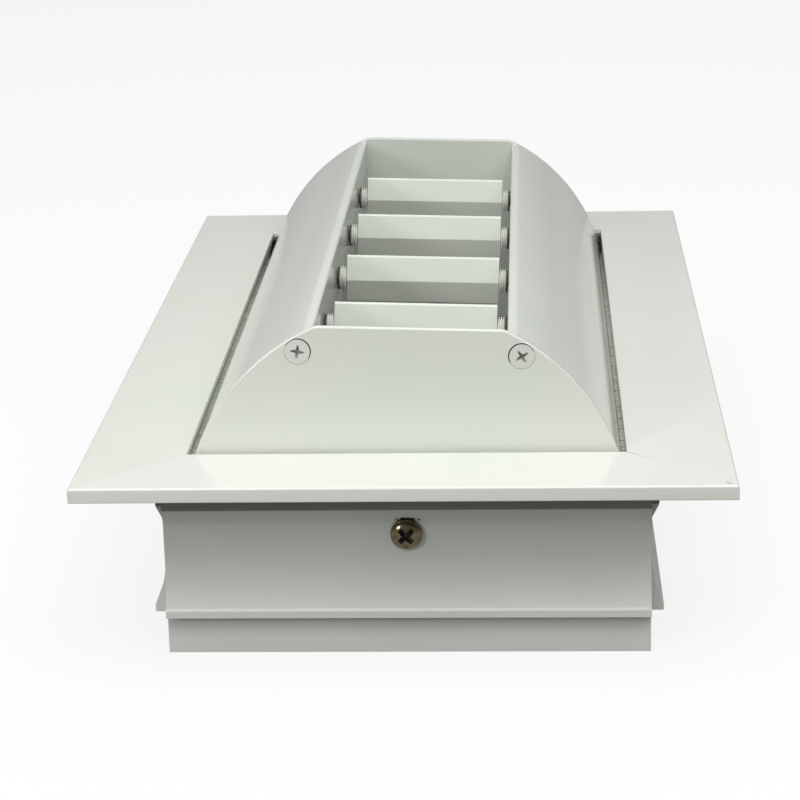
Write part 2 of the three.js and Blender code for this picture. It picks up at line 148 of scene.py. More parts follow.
def lay_paper(name, sheet, drop, material):
    """Puts a sheet of the studio's paper under the grille."""
    bmesh.ops.translate(sheet, verts=sheet.verts, vec=(0, 0, -drop))
    laid = as_object(name, sheet)
    laid.data.materials.append(material)


paper = new_material("white_paper_floor")
to_camera, to_gloss, to_glass = (
    add_node(paper, "LightPath", out=f"Is {kind} Ray") for kind in ("Camera", "Glossy", "Transmission")
)
# A Mix node takes its colours in inputs 6 and 7 and gives the mixed one in output 2.
paper_tone = add_node(paper, "Mix", {0: to_camera, 6: "#737372", 7: "#e9e9e7"}, 2, data_type="RGBA")
paper_face = add_node(paper, "BsdfDiffuse", {"Color": paper_tone})
paper_white = add_node(paper, "Emission", {"Color": "#ffffff", "Strength": 1})
seen = add_node(paper, "Math", {0: to_camera, 1: to_glass}, operation="MAXIMUM")
seen = add_node(paper, "Math", {0: seen, 1: floor_glow}, operation="MULTIPLY")
mirrored = add_node(paper, "Math", {0: to_gloss, 1: floor_glow_in_gloss}, operation="MULTIPLY")
glow = add_node(paper, "Math", {0: seen, 1: mirrored}, operation="MAXIMUM")
show(paper, add_node(paper, "MixShader", {0: glow, 1: paper_face, 2: paper_white}))

floor = bmesh.new()
bmesh.ops.create_circle(floor, cap_ends=True, segments=96, radius=floor_radius)
lay_paper("floor", floor, floor_drop, paper)

world = bpy.data.worlds.new("studio")
world.use_nodes = True
scene.world = world
world.node_tree.nodes.clear()
to_camera = add_node(world, "LightPath", out="Is Camera Ray")
world_grey = add_node(world, "Background", {"Color": "#fbfcff", "Strength": surroundings_strength})
world_white = add_node(world, "Background", {"Color": "#ffffff", "Strength": 1})
world_mix = add_node(world, "MixShader", {0: to_camera, 1: world_grey, 2: world_white})
add_node(world, "OutputWorld", {"Surface": world_mix})

grille_middle = (cad_low + cad_high) / 2
for lamp_name, place, size, power in (
    ("top_soft_box", Vector((0, -0.1, 1.3)), 1.2, 2),
    ("middle_soft_box", Vector((0, -1, 1.05)), 0.6, 4.2),
    ("left_soft_box", Vector((-0.45, -0.5, 1.15)), 0.9, 4.6),
    ("right_soft_box", Vector((0.5, -0.5, 1.1)), 0.9, 6.5),
    ("low_left_lamp", Vector((-0.85, -1.05, 0.55)), 0.25, 3.6),
    ("back_soft_box", Vector((0, 0.8, 1.1)), 0.9, 3.2),
):
    lamp = bpy.data.objects.new(lamp_name, bpy.data.lights.new(lamp_name, "AREA"))
    lamp.data.shape = "SQUARE"
    lamp.data.size = size
    lamp.data.energy = power
    aim = (grille_middle - place).to_track_quat("-Z", "Y").to_matrix().to_4x4()
    lamp.matrix_world = Matrix.Translation(place) @ aim
    scene.collection.objects.link(lamp)

# Frame bars: four mitred lengths of one aluminium extrusion, semi-gloss white powder coat. Going round the
# section from the flange's outer corner: lip, two hooks for the corner key, ridge, neck wall with its flared
# bead, and the channel for the pile. The front and back bars are drilled for the pivot screws.
flange_low, flange_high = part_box("frame_front")
side_low, side_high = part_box("frame_left")
frame_width = flange_high.x - flange_low.x
frame_length = side_high.y - side_low.y
frame_height = flange_high.z
joints = {joint["name"]: joint for joint in frame["joints"]}
axis_height = joints["drum_turn"]["pos_m"][2]

flange_border = 31.9 * mm  # outer edge to the opening
flange_thickness = 1.6 * mm
lip_height = 4.6 * mm
lip_thickness = 1.6 * mm
wall_setback = 7.4 * mm  # opening's edge to the neck wall's outer face
wall_thickness = 2 * mm
ridge_proud = 2.4 * mm
ridge_drop = 15.2 * mm  # flange top to the ridge's lower corner
ridge_chamfer_drop = 4.8 * mm
bead_proud = 4 * mm
bead_nose_height = 16 * mm
bead_foot_height = 13 * mm
bead_nose_radius = 0.6 * mm
flare_rise = 16 * mm  # height of the concave sweep from the wall out to the bead
flare_bend = 8 * mm  # how far above the nose the sweep's tangents cross
flare_steps = 24
corner_notch = 2.2 * mm  # how far the side bars' ridge and bead stop short of the end bars' wall
channel_depth = 1.4 * mm
channel_height = 5.2 * mm
channel_wall = 1.2 * mm
channel_drop = 2 * mm  # flange top to the channel's ceiling
mouth_height = 3.2 * mm
upper_jaw_depth = 2.2 * mm
hook_offset = 4.6 * mm
hook_wall = 1.2 * mm
hook_reach = 2 * mm
hook_standoff = 3.1 * mm  # inner hook to the ridge
key_thickness = 1.8 * mm
seat_gap = 0.2 * mm
seam = 0.04 * mm  # between two bars at a mitre, nearly closed by the paint
open_seam = 0.9 * mm  # at the inner end of the front right mitre, which the paint hasn't closed
open_seam_reach = 11 * mm
open_seam_tip_share = 0.02  # of its width, where it closes
pivot_hole_radius = 2.8 * mm
spot_face_radius = 5.3 * mm
hollow_inset = 3 * mm  # flange's edge to the hollow under it, whose faces are painted darker as shade
sharp_fade = 0.3 * mm  # over which the painted shade fades in
flange_edge_round = 0.7 * mm
soft_corner = 0.35 * mm
die_corner = 0.15 * mm  # what an extrusion die leaves on an inner or hidden corner
overrun = 5 * mm  # how far a cutting tool runs past what it cuts
same = 1e-7  # two points closer than this are one

wall_offset = flange_border - wall_setback
inner_hook = wall_offset - ridge_proud - hook_standoff
underside = frame_height - flange_thickness
channel_ceiling = frame_height - channel_drop
channel_floor = channel_ceiling - channel_height
mouth_top = channel_ceiling - channel_wall
mouth_foot = mouth_top - mouth_height
ridge_foot = frame_height - ridge_drop
wall_top = ridge_foot - ridge_chamfer_drop
ridge_clear = wall_offset - ridge_proud - hook_standoff / 2  # between the inner hook and the ridge
sides = {  # turn in degrees, middle of the outer edge, length
    "front": (0, 0, -frame_length / 2, frame_width),
    "right": (90, frame_width / 2, 0, frame_length),
    "back": (180, 0, frame_length / 2, frame_width),
    "left": (-90, -frame_width / 2, 0, frame_length),
}


def hook(outer, inwards):
    """A hook's corners under the flange, from its back at the root. inwards, 1 or -1, is where it points."""
    inner = outer + hook_wall * inwards
    tip = inner + hook_reach * inwards
    lip = underside - seat_gap * 2 - key_thickness
    foot = lip - hook_wall
    return [(outer, underside), (outer, foot), (tip, foot), (tip, lip), (inner, lip), (inner, underside)]


def bar_section():
    """The extrusion's corners as (inwards from the flange's edge, height, rounding)."""
    ridge_outer = wall_offset - ridge_proud
    ridge_inner = ridge_outer + wall_thickness
    bead_outer = wall_offset - bead_proud
    nose = Vector((bead_outer + bead_nose_radius, bead_nose_height))
    wall_inner = wall_offset + wall_thickness
    jaw_inner = flange_border - upper_jaw_depth
    jaw_lip = jaw_inner + channel_wall
    channel_back = jaw_inner - channel_depth
    channel_outer = channel_back - channel_wall
    channel_foot = channel_floor - channel_wall
    flare_start = Vector((wall_offset, bead_nose_height + flare_rise))
    flare_middle = Vector((wall_offset, bead_nose_height + flare_bend))
    flare = []
    for step in range(flare_steps):
        t = step / flare_steps
        spot = flare_start * (1 - t) ** 2 + flare_middle * 2 * t * (1 - t) + nose * t**2
        flare.append((spot.x, spot.y, 0))
    under_flange = [(lip_thickness, underside)] + hook(hook_offset, 1) + hook(inner_hook, -1)[::-1]
    behind = [
        (nose.x, nose.y), (bead_outer, bead_nose_height - bead_nose_radius), (bead_outer, bead_foot_height),
        (wall_offset, bead_foot_height), (wall_offset, 0), (wall_inner, 0), (wall_inner, wall_top),
        (ridge_inner, ridge_foot), (ridge_inner, underside), (channel_outer, underside),
        (channel_outer, channel_foot), (jaw_lip, channel_foot), (jaw_lip, mouth_foot),
        (jaw_inner, mouth_foot), (jaw_inner, channel_floor), (channel_back, channel_floor),
        (channel_back, channel_ceiling), (jaw_inner, channel_ceiling), (jaw_inner, mouth_top),
        (flange_border, mouth_top),
    ]
    return [
        (0, frame_height, flange_edge_round),
        (0, frame_height - lip_height, soft_corner),
        (lip_thickness, frame_height - lip_height, soft_corner),
        *((y, z, die_corner) for y, z in under_flange),
        (ridge_outer, underside, die_corner),
        (ridge_outer, ridge_foot, soft_corner),
        (wall_offset, wall_top, soft_corner),
        *flare,
        *((y, z, die_corner) for y, z in behind),
        (flange_border, frame_height, soft_corner),
    ]


def verts_in(geom):
    return [v for v in geom if isinstance(v, bmesh.types.BMVert)]


def draw_out(shape, way):
    """Draws the shape's faces out along way into a closed solid."""
    drawn = bmesh.ops.extrude_face_region(shape, geom=shape.faces[:])["geom"]
    bmesh.ops.translate(shape, verts=verts_in(drawn), vec=way)
    bmesh.ops.recalc_face_normals(shape, faces=shape.faces)


def is_long(edge, axis, length):
    return abs(edge.verts[0].co[axis] - edge.verts[1].co[axis]) > length / 2


def round_edges(shape, edges, rounding, segments=2):
    bmesh.ops.bevel(
        shape, geom=edges, offset=rounding, offset_type="OFFSET", segments=segments, profile=0.5,
        affect="EDGES", clamp_overlap=True, material=-1,
    )


def draw_along_x(corners, length, segments=3):
    """A section of (y, z, rounding) corners drawn out along X, centred, its long edges rounded."""
    shape = bmesh.new()
    shape.faces.new([shape.verts.new((-length / 2, y, z)) for y, z, _ in corners])
    draw_out(shape, (length, 0, 0))
    for rounding in sorted({r for _, _, r in corners if r}):
        spots = [Vector((y, z)) for y, z, r in corners if r == rounding]
        edges = [
            e for e in shape.edges
            if is_long(e, 0, length) and any((e.verts[0].co.yz - spot).length < same for spot in spots)
        ]
        round_edges(shape, edges, rounding, segments)
    return shape


def slice_off(shape, point, normal):
    """Cuts the shape at a plane, takes away the side that normal points to, and closes the cut."""
    everything = shape.verts[:] + shape.edges[:] + shape.faces[:]
    cut = bmesh.ops.bisect_plane(
        shape, geom=everything, plane_co=point, plane_no=normal, dist=same, clear_outer=True
    )
    rim = [e for e in cut["geom_cut"] if isinstance(e, bmesh.types.BMEdge)]
    bmesh.ops.contextual_create(shape, geom=rim)


def block(one_corner, other_corner):
    """A box between two corners."""
    shape = bmesh.new()
    bmesh.ops.create_cube(shape, size=1)
    span = other_corner - one_corner
    bmesh.ops.scale(shape, vec=[abs(s) for s in span], verts=shape.verts)
    bmesh.ops.translate(shape, vec=(one_corner + other_corner) / 2, verts=shape.verts)
    return shape


def rod(radius, start, end, segments=48):
    """A closed cylinder from one point to another."""
    shape = bmesh.new()
    line = end - start
    bmesh.ops.create_cone(
        shape, cap_ends=True, segments=segments, radius1=radius, radius2=radius, depth=line.length
    )
    turn = line.to_track_quat("Z", "Y").to_matrix().to_4x4()
    bmesh.ops.transform(shape, matrix=Matrix.Translation((start + end) / 2) @ turn, verts=shape.verts)
    return shape


def turn_shape(shape, angle, axis):
    """Turns the shape about an axis through the origin, and gives it back."""
    bmesh.ops.rotate(shape, verts=shape.verts, cent=(0, 0, 0), matrix=Matrix.Rotation(angle, 3, axis))
    return shape


def combine(shape, tools, operation="DIFFERENCE"):
    """The shape with the tools cut away, joined on or intersected, as a new bmesh."""
    stock = as_object("stock", shape)
    cutters = [as_object("cutter", tool) for tool in tools]
    for cutter in cutters:
        step = stock.modifiers.new("step", "BOOLEAN")
        step.operation = operation
        step.solver = "EXACT"
        step.object = cutter
    made = bmesh.new()
    made.from_object(stock, bpy.context.evaluated_depsgraph_get())
    for used in (stock, *cutters):
        mesh = used.data
        bpy.data.objects.remove(used)
        bpy.data.meshes.remove(mesh)
    return made


def seat(x, y, z, turn):
    """Where a piece made at the origin goes: turned by so many degrees about Z, then moved."""
    return Matrix.Translation((x, y, z)) @ Matrix.Rotation(math.radians(turn), 4, "Z")


def finish_piece(name, shape, fit, material, body, node, crease=50, others=()):
    """Puts the shape in its place, smooth but for edges over crease degrees, and lets it stand for its CAD
    node. others are the materials of the faces that have a material index above 0."""
    bmesh.ops.transform(shape, matrix=fit, verts=shape.verts)
    piece = as_object(name, shape)
    piece.data.shade_smooth()
    piece.data.set_sharp_from_angle(angle=math.radians(crease))
    flatten = piece.modifiers.new("flat_faces_stay_flat", "WEIGHTED_NORMAL")
    flatten.keep_sharp = True
    for one in (material, *others):
        piece.data.materials.append(one)
    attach(piece, body)
    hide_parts(node)


def powder_coat(name, colour, shade_colour, grain_along, chips=(), tone_shift=None, roughness=0.15):
    """Polyester powder coat on an aluminium extrusion: semi-gloss, with a faint orange peel, and the die's
    lines showing through along the extrusion. chips are (place, reach each way, colour) of ragged spots in
    another colour, such as a corner where the coat is knocked off. The region given after them is painted
    darker as shade, where little light reaches: two corners, colour, fading width."""
    made = new_material(name)
    place = add_node(made, "TexCoord", out="Object")
    stretch = [1, 1, 1]
    stretch["XYZ".index(grain_along)] = 0.01  # die lines run on for a hundred times their width
    drawn = add_node(made, "Mapping", {"Vector": place, "Scale": stretch})
    # The shade drifts over 45 mm, the die's lines are 1.1 mm apart, and the orange peel's bumps 1.6 mm.
    cloud, lines, peel = (
        add_node(made, "TexNoise", {"Vector": at, "Scale": 1 / size, "Detail": detail, "Roughness": rough})
        for at, size, detail, rough in (
            (place, 45 * mm, 2, 0.5), (drawn, 1.1 * mm, 3, 0.6), (place, 1.6 * mm, 1, 0.4)
        )
    )
    mottle = add_node(made, "MapRange", {"Value": cloud, "From Min": 0.3, "From Max": 0.7})
    coat = add_node(made, "Mix", {0: mottle, 6: colour, 7: shade_colour}, 2, data_type="RGBA")
    # A few grains of grit under the coat show as dark specks about 0.4 mm wide.
    grit = add_node(made, "TexVoronoi", {"Vector": place, "Scale": 1 / (22 * mm)}, "Distance")
    speck = add_node(
        made, "MapRange", {"Value": grit, "From Min": 0.009, "From Max": 0.013, "To Min": 0.5, "To Max": 0}
    )
    coat = add_node(made, "Mix", {0: speck, 6: coat, 7: "#6f7068"}, 2, data_type="RGBA")
    gloss = add_node(
        made, "MapRange",
        {"Value": cloud, "From Min": 0.3, "From Max": 0.7, "To Min": roughness, "To Max": roughness + 0.05},
    )
    # Painted shade: inside the given box the coat turns to a greyer colour, fading in at the box's faces.
    if tone_shift:
        low, high, painted_shade_colour, fade = tone_shift
        away = add_node(made, "VectorMath", {0: place, 1: (low + high) / 2}, operation="SUBTRACT")
        away = add_node(made, "VectorMath", {0: away}, operation="ABSOLUTE")
        away = add_node(made, "VectorMath", {0: away, 1: (high - low) / 2}, operation="SUBTRACT")
        x, y, z = (add_node(made, "SeparateXYZ", {0: away}, axis) for axis in "XYZ")
        outside = add_node(made, "Math", {0: x, 1: y}, operation="MAXIMUM")
        outside = add_node(made, "Math", {0: outside, 1: z}, operation="MAXIMUM")
        painted_shade_share = add_node(
            made, "MapRange", {"Value": outside, "From Min": -fade, "From Max": 0, "To Min": 1, "To Max": 0}
        )
        coat = add_node(made, "Mix", {0: painted_shade_share, 6: coat, 7: painted_shade_colour}, 2, data_type="RGBA")
    for spot, reach, spot_colour in chips:
        away = add_node(made, "VectorMath", {0: place, 1: spot}, operation="SUBTRACT")
        away = add_node(made, "VectorMath", {0: away, 1: reach}, operation="DIVIDE")
        away = add_node(made, "VectorMath", {0: away}, "Value", operation="LENGTH")
        near = add_node(
            made, "MapRange",
            {"Value": away, "From Min": 0.35, "From Max": 1, "To Min": 0.62, "To Max": 0.25},
        )
        ragged = add_node(
            made, "TexNoise", {"Vector": place, "Scale": 1 / (0.8 * mm), "Detail": 4, "Roughness": 0.7}
        )
        spotted = add_node(made, "Math", {0: near, 1: ragged}, operation="SUBTRACT")
        spotted = add_node(made, "MapRange", {"Value": spotted, "From Min": 0, "From Max": 0.05})
        coat = add_node(made, "Mix", {0: spotted, 6: coat, 7: spot_colour}, 2, data_type="RGBA")
    ripple = add_node(made, "Bump", {"Height": peel, "Strength": 0.12, "Distance": 0.02 * mm})
    ripple = add_node(
        made, "Bump", {"Height": lines, "Strength": 0.1, "Distance": 0.02 * mm, "Normal": ripple}
    )
    return show(made, add_node(
        made, "BsdfPrincipled",
        {"Base Color": coat, "Roughness": gloss, "IOR": 1.5, "Normal": ripple},
    ))


# Painted shade: the hollow under the flange and the ridge's face are coloured a darker grey.
hollow_reach = Vector((frame_width / 2 - hollow_inset, frame_length / 2 - hollow_inset, 0))
painted_shade_under_flange = (
    Vector((0, 0, ridge_foot - soft_corner / 2)) - hollow_reach,
    Vector((0, 0, underside)) + hollow_reach,
    "#8b8c84",
    sharp_fade,
)
# A near-black ragged spot on the chamfer hugging the top of the pivot screw's head, and a light grey chip at
# the front right corner, where the coat is knocked off.
pivot_spot = Vector((0.3 * mm, -frame_length / 2 + wall_offset, axis_height + 4.9 * mm))
corner_spot = Vector((frame_width / 2 - 2.3 * mm, 3.4 * mm - frame_length / 2, frame_height))
front_chips = (
    (pivot_spot, Vector((6.5, 3, 1.5)) * mm, "#26261f"),
    (corner_spot, Vector((2.4, 3, 1)) * mm, "#9a9c94"),
)
bar_looks = {
    "front": ("#e4e6df", "#dfe2d9", "X", front_chips),
    "back": ("#e2e4dc", "#dee1d7", "X", ()),
    "left": ("#e2e4db", "#dde1d7", "Y", ()),
    "right": ("#e2e4dc", "#dee1d8", "Y", ()),
}

for place, (turn, x, y, length) in sides.items():
    bar = draw_along_x(bar_section(), length + overrun * 2)
    for side in (-1, 1):
        slice_off(bar, (side * (length - seam) / 2, 0, 0), (side, 1, 0))
    ends = place in ("front", "back")
    notch_start = length / 2 - wall_offset - (0 if ends else corner_notch)
    tools = []
    # Bead and ridge end at the neck's corner, and the flange runs on to its mitre.
    for side in (-1, 1):
        notch_end = side * (length / 2 + overrun)
        for outer, low, high in ((-overrun, -overrun, wall_top), (ridge_clear, wall_top, underside)):
            start = Vector((side * notch_start, outer, low))
            tools.append(block(start, Vector((notch_end, wall_offset, high))))
    if ends:
        behind = Vector((0, flange_border, axis_height))
        outside = Vector((0, -flange_border, axis_height))
        wall_face = Vector((0, wall_offset, axis_height))
        tools += [rod(pivot_hole_radius, outside, behind), rod(spot_face_radius, outside, wall_face)]
    if place == "front":
        open_low = Vector((0, -open_seam / 2, underside - overrun))
        gap = block(open_low, Vector((open_seam_reach, open_seam / 2, frame_height + overrun)))
        tip = [v for v in gap.verts if v.co.x > open_seam_reach / 2]
        bmesh.ops.scale(gap, vec=(1, open_seam_tip_share, 1), verts=tip)
        turn_shape(gap, math.radians(-45), "Z")
        bmesh.ops.translate(gap, verts=gap.verts, vec=(length / 2 - flange_border, flange_border, 0))
        tools.append(gap)
    coat = powder_coat(f"powder_coated_{place}_bar", *bar_looks[place], painted_shade_under_flange)
    finish_piece(
        f"flange_bar_{place}", combine(bar, tools), seat(x, y, 0, turn), coat, "frame",
        f"frame_{place}",
    )

# The paper inside the neck lies in the grille's own shade, so it doesn't glow as the open floor does.
shaded_paper = new_material("white_paper_in_shade")
show(shaded_paper, add_node(shaded_paper, "BsdfDiffuse", {"Color": "#b9b9b7"}))
patch = bmesh.new()
bmesh.ops.create_grid(patch, x_segments=1, y_segments=1, size=1)
patch_reach = Vector((frame_width, frame_length, 0)) / 2 - Vector((1, 1, 0)) * (wall_offset + wall_thickness)
bmesh.ops.scale(patch, verts=patch.verts, vec=patch_reach)
lay_paper("floor_inside_neck", patch, floor_drop / 2, shaded_paper)

# Corner keys: flat angles punched from mill finish aluminium, pushed into the hooks of two bars and staked
# through one hole in each arm. They pull the mitres shut.
key_arm = 42 * mm
key_hole_radius = 2 * mm
key_near = hook_offset + hook_wall + seat_gap
key_far = inner_hook - hook_wall - seat_gap
key_middle = (key_near + key_far) / 2
key_tip = key_near + key_arm
key_hole = key_far + key_arm / 2


def mill_aluminium(name):
    """Extruded and cut aluminium as it leaves the press: grey, faintly streaked, half dull."""
    made = new_material(name)
    place = add_node(made, "TexCoord", out="Object")
    streaks = add_node(made, "Mapping", {"Vector": place, "Scale": (1, 0.04, 1)})
    streak = add_node(made, "TexNoise", {"Vector": streaks, "Scale": 1 / (0.5 * mm), "Detail": 3})
    tone = add_node(made, "Mix", {0: streak, 6: "#a9adaf", 7: "#c4c7c8"}, 2, data_type="RGBA")
    dull = add_node(made, "MapRange", {"Value": streak, "To Min": 0.34, "To Max": 0.5})
    ridges = add_node(made, "Bump", {"Height": streak, "Strength": 0.2, "Distance": 0.02 * mm})
    return show(made, add_node(
        made, "BsdfPrincipled", {"Base Color": tone, "Metallic": 1, "Roughness": dull, "Normal": ridges},
    ))


key_metal = mill_aluminium("mill_finish_aluminium")
for place, side_x, side_y, turn in (
    ("front_left", -1, -1, 0),
    ("front_right", 1, -1, 90),
    ("back_right", 1, 1, 180),
    ("back_left", -1, 1, -90),
):
    key = bmesh.new()
    key.faces.new([key.verts.new((x, y, underside - seat_gap)) for x, y in (
        (key_near, key_near), (key_tip, key_near), (key_tip, key_far),
        (key_far, key_far), (key_far, key_tip), (key_near, key_tip),
    )])
    draw_out(key, (0, 0, -key_thickness))
    round_edges(key, key.edges[:], die_corner)
    drills = [
        rod(key_hole_radius, Vector((x, y, 0)), Vector((x, y, frame_height)))
        for x, y in ((key_hole, key_middle), (key_middle, key_hole))
    ]
    finish_piece(
        f"corner_angle_{place}", combine(key, drills),
        seat(side_x * frame_width / 2, side_y * frame_length / 2, 0, turn), key_metal, "frame",
        f"corner_key_{place}",
    )

# Pile seals: a stiff woven strip slid into the channel, with thousands of grey polypropylene fibres standing
# out of it. They brush the drum and shut the gap round it. The fibres are drawn as tufts about twice as
# coarse as real.
pile_base_thickness = 1 * mm
pile_width = 2.6 * mm
tuft_rows = 6
tuft_pitch = 0.36 * mm  # about, so that the repeats fill the strip
tuft_count = 120  # in one stretch, which is then repeated along the strip
tuft_foot_radius = 0.26 * mm
tuft_tip_radius = 0.15 * mm
tuft_place_shares = (0.2, 0.8)  # where in its pitch a tuft may stand
tuft_lean_along = 0.18  # at most, sideways for each length outwards
tuft_lean_up = 0.12
tuft_short = 0.25 * mm  # at most
pile_clearance = 0.03 * mm
worn_reach = 34 * mm
worn_share = 0.5  # of the pile's height, at the worn end
worn_slope = 1.6  # the wear is full before the end
end_gap = 1.5 * mm  # opening's edge to the drum's end plate
opening_gap = 2.7 * mm  # opening's edge to the drum at its sides
drum_radius = math.hypot(frame_width / 2 - flange_border - opening_gap, frame_height - axis_height)
pile_back = flange_border - upper_jaw_depth - channel_depth + seat_gap
pile_front = pile_back + pile_base_thickness
worn_ends = {"front": 0, "right": 1, "back": 0, "left": -1}


def pile_fibre(name):
    """Grey polypropylene pile: dull, mottled at random from dark grey to near white, with a little sheen on
    the fibres. Towards the back end it is painted darker, as shade."""
    made = new_material(name)
    place = add_node(made, "TexCoord", out="Object")
    tuft = add_node(
        made, "TexNoise", {"Vector": place, "Scale": 1 / (0.4 * mm), "Detail": 3, "Roughness": 0.75}
    )
    tone = add_node(made, "Mix", {0: tuft, 6: "#8a8c82", 7: "#eceee2"}, 2, data_type="RGBA")
    # Painted shade: the fibres turn dark brown-grey towards the back end.
    along = add_node(made, "SeparateXYZ", {0: place}, "Y")
    painted_back_shade = add_node(
        made, "MapRange", {"Value": along, "From Min": 25 * mm, "From Max": 110 * mm, "To Max": 0.62}
    )
    tone = add_node(made, "Mix", {0: painted_back_shade, 6: tone, 7: "#2c2a24"}, 2, data_type="RGBA")
    fuzz = add_node(made, "Bump", {"Height": tuft, "Strength": 0.6, "Distance": 0.1 * mm})
    return show(made, add_node(
        made, "BsdfPrincipled",
        {"Base Color": tone, "Roughness": 0.85, "Sheen Weight": 0.3, "Normal": fuzz},
    ))


def pour_in(shape, extra):
    """Puts all of one bmesh into another."""
    holder = bpy.data.meshes.new("holder")
    extra.to_mesh(holder)
    extra.free()
    shape.from_mesh(holder)
    bpy.data.meshes.remove(holder)


def pile_reach(height, at_side):
    """From the flange's edge to the drum: to its end plate, or at a side to its round at that height."""
    if at_side:
        return frame_width / 2 - math.sqrt(drum_radius**2 - (height - axis_height) ** 2) - pile_clearance
    return flange_border + end_gap - pile_clearance


def pile_strip(length, seed, worn_end):
    """A seal along X: its woven base, and tufts from it out to the drum. worn_end is 0 for an end's seal. A
    side's seal is worn short towards the end that it gives, 1 or -1."""
    draw = random.Random(seed)
    low = channel_floor + seat_gap
    high = channel_ceiling - seat_gap
    base = [(pile_back, low), (pile_front, low), (pile_front, high), (pile_back, high)]
    strip = draw_along_x([(y, z, die_corner) for y, z in base], length, segments=2)
    repeats = round(length / (tuft_count * tuft_pitch))
    stretch = length / repeats
    pitch = stretch / tuft_count
    tufts = bmesh.new()
    for row in range(tuft_rows):
        height = (mouth_top + mouth_foot) / 2 + pile_width * ((row + 0.5) / tuft_rows - 0.5)
        for i in range(tuft_count):
            foot = Vector((-length / 2 + (i + draw.uniform(*tuft_place_shares)) * pitch, pile_front, height))
            lean_along = draw.uniform(-tuft_lean_along, tuft_lean_along)
            lean = Vector((lean_along, 1, draw.uniform(-tuft_lean_up, tuft_lean_up))).normalized()
            reach = pile_reach(height, worn_end) - pile_front - draw.uniform(0, tuft_short)
            made = bmesh.ops.create_cone(
                tufts, cap_ends=True, segments=5, radius1=tuft_foot_radius, radius2=tuft_tip_radius,
                depth=reach,
            )
            turn = lean.to_track_quat("Z", "X").to_matrix().to_4x4()
            place = Matrix.Translation(foot + lean * reach / 2) @ turn
            bmesh.ops.transform(tufts, matrix=place, verts=made["verts"])
    first = tufts.verts[:] + tufts.edges[:] + tufts.faces[:]
    for repeat in range(1, repeats):
        copied = bmesh.ops.duplicate(tufts, geom=first)["geom"]
        bmesh.ops.translate(tufts, verts=verts_in(copied), vec=(stretch * repeat, 0, 0))
    for v in tufts.verts:
        worn = (v.co.x * worn_end - length / 2) / worn_reach + 1
        if worn > 0 and v.co.y > pile_front:
            v.co.y = pile_front + (v.co.y - pile_front) * (1 - worn_share * min(worn * worn_slope, 1))
    pour_in(strip, tufts)
    return strip


pile = pile_fibre("grey_polypropylene_pile")
for seed, (place, (turn, x, y, _)) in enumerate(sides.items()):
    node = f"pile_seal_{place}"
    node_low, node_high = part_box(node)
    strip = pile_strip(max(node_high - node_low), seed, worn_ends[place])
    finish_piece(f"brush_{place}", strip, seat(x, y, 0, turn), pile, "frame", node)

# Pivots: at each end an M5 pan head screw, zinc plated and yellow passivated, goes through the neck wall, a
# flanged nylon bush that carries the drum's end plate, a washer and a nut. Each piece is made along
# +Y from the neck wall's outer face.
running_gap = 0.3 * mm
small_crease = 35  # degrees, over which an edge of a turned or moulded piece stays sharp
pivot_radius = 2.5 * mm
pivot_length = 20 * mm
pivot_head_radius = 5 * mm
pivot_head_height = 3.3 * mm
pivot_head_side_share = 0.2  # of the head's height, below its dome
pivot_dome_steps = 16
pivot_plain_length = 3 * mm  # under the head, without thread
thread_pitch = 0.8 * mm
thread_depth = 0.4 * mm
thread_tooth_share = 0.9  # of the pitch, which the tooth is wide at its foot
thread_steps = 24
pivot_recess_width = 2 * mm
pivot_recess_span = 6.8 * mm
pivot_recess_depth = 2.1 * mm
pivot_tip_share = 0.8  # of the recess's width, at the ends of its arms
recess_turns = {"front": 46, "back": 17}  # degrees
recess_zone_share = 0.7  # of the head's radius: faces nearer the middle and below the dome are the recess's
facet_sag = 0.05 * mm  # how far a facet of the dome may lie below it
recess_bottom_width_share = 0.62  # of what they are at the head's face
recess_bottom_span_share = 0.42
recess_lead = 1 * mm  # how far the tool stands out of the head
collar_radius = 7 * mm
shoulder_wall = 1.1 * mm
bush_rounding = 0.2 * mm
end_plate_thickness = 2 * mm
washer_radius = 6 * mm
washer_thickness = 1 * mm
washer_rounding = 0.12 * mm
nut_across_flats = 8 * mm
nut_thickness = 4.5 * mm
nut_chamfer = math.radians(30)
nut_bore_chamfer = 0.3 * mm
nut_lead = 1 * mm
collar_end = wall_setback + end_gap - running_gap
shoulder_end = collar_end + end_plate_thickness + running_gap * 2
washer_end = shoulder_end + washer_thickness
pivot_bore = pivot_radius + running_gap
shoulder_radius = pivot_bore + shoulder_wall
drum_ends = {"front": (0, -1), "back": (180, 1)}  # turn in degrees, and which way along Y


def spin_round(profile, segments=64):
    """Spins (radius, distance along Y) points round the Y axis into a closed shape."""
    shape = bmesh.new()
    spots = [shape.verts.new((radius, along, 0)) for radius, along in profile]
    edges = [shape.edges.new(pair) for pair in zip(spots, spots[1:])]
    bmesh.ops.spin(
        shape, geom=spots + edges, cent=(0, 0, 0), axis=(0, 1, 0), angle=2 * math.pi, steps=segments,
        use_merge=True, use_normal_flip=False,
    )
    bmesh.ops.remove_doubles(shape, verts=shape.verts, dist=same)
    bmesh.ops.recalc_face_normals(shape, faces=shape.faces)
    return shape


def sharp_edges(shape, crease=60):
    """The edges that turn by more than crease degrees."""
    return [e for e in shape.edges if len(e.link_faces) == 2 and e.calc_face_angle() > math.radians(crease)]


